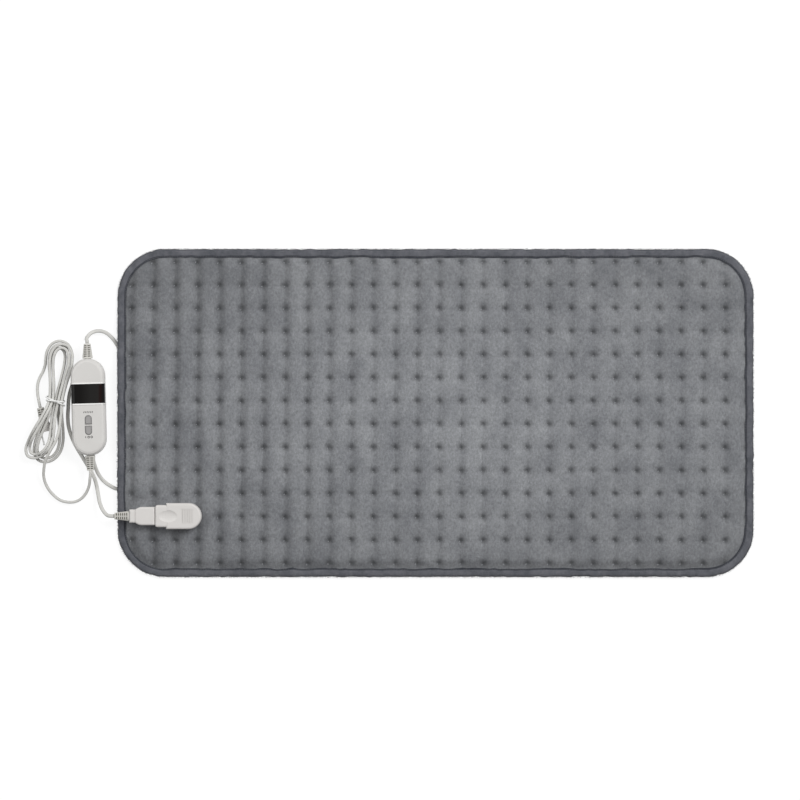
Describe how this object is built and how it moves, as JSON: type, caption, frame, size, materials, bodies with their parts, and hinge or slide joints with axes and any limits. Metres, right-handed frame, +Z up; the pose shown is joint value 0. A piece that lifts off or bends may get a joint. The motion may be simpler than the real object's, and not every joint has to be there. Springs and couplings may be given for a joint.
{
  "type": "heating pad with controller",
  "caption": "Tufted rectangular heating pad with a bound edge, a plug-in lead, a hand controller with two buttons and display, and a tied mains lead.",
  "frame": {"origin": "middle of the pad's flat underside, on the table", "axes": "+X along the pad's length, away from the controller; +Y across the pad, towards the edge that is farther from the connector; +Z up, out of the tufted side"},
  "size_m": [0.96, 0.432, 0.0245],
  "materials": {
    "plush": "short plush",
    "pad_cloth": "smooth woven cloth",
    "felt": "needled felt",
    "binding": "folded plush tape",
    "heating_wire": "insulated wire",
    "component": "moulded",
    "connector": "fine satin",
    "contact": "plain",
    "relief": "soft moulded",
    "controller": "satin",
    "window": "smoked, polished",
    "board": "lacquered",
    "button": "soft moulded",
    "fuse": "plain",
    "screw": "plain",
    "lead": "smooth",
    "tie": "thin coated wire",
    "blade": "plated"
  },
  "bodies": {
    "pad_and_controller": {"pad_top_cover": "plush", "pad_bottom_cover": "pad_cloth", "heater_carrier": "felt", "heating_wire": "heating_wire", "thermal_cutout": "component", "edge_binding": "binding", "socket_upper_shell": "connector", "socket_lower_shell": "connector", "socket_contact_1": "contact", "socket_contact_2": "contact", "controller_front_shell": "controller", "controller_rear_shell": "controller", "display_window": "window", "display_module": "component", "circuit_board": "board", "heat_switch": "component", "power_switch": "component", "power_relay": "component", "fuse": "fuse", "controller_screw_1": "screw", "controller_screw_2": "screw", "controller_screw_3": "screw", "controller_screw_4": "screw", "upper_strain_relief": "relief", "lower_strain_relief": "relief", "pad_lead": "lead", "mains_lead_near": "lead", "cord_hank": "lead", "mains_lead_far": "lead", "hank_tie": "tie", "mains_plug_body": "connector", "mains_plug_strain_relief": "relief", "mains_blade_1": "blade", "mains_blade_2": "blade"},
    "pad_plug": {"plug_upper_shell": "connector", "plug_lower_shell": "connector", "plug_pin_1": "contact", "plug_pin_2": "contact", "plug_strain_relief": "relief"},
    "heat_key": {"heat_button": "button"},
    "power_key": {"power_button": "button"}
  },
  "joints": [
    {"name": "plug_pull", "type": "slide", "parent": "pad_and_controller", "child": "pad_plug", "axis": [-1, 0, 0], "range_m": [0, 0.021], "deforming": ["pad_lead"]},
    {"name": "heat_press", "type": "slide", "parent": "pad_and_controller", "child": "heat_key", "axis": [0, 0, -1], "range_m": [0, 0.0008], "stiffness_N_per_m": 250},
    {"name": "power_press", "type": "slide", "parent": "pad_and_controller", "child": "power_key", "axis": [0, 0, -1], "range_m": [0, 0.0008], "stiffness_N_per_m": 250}
  ]
}
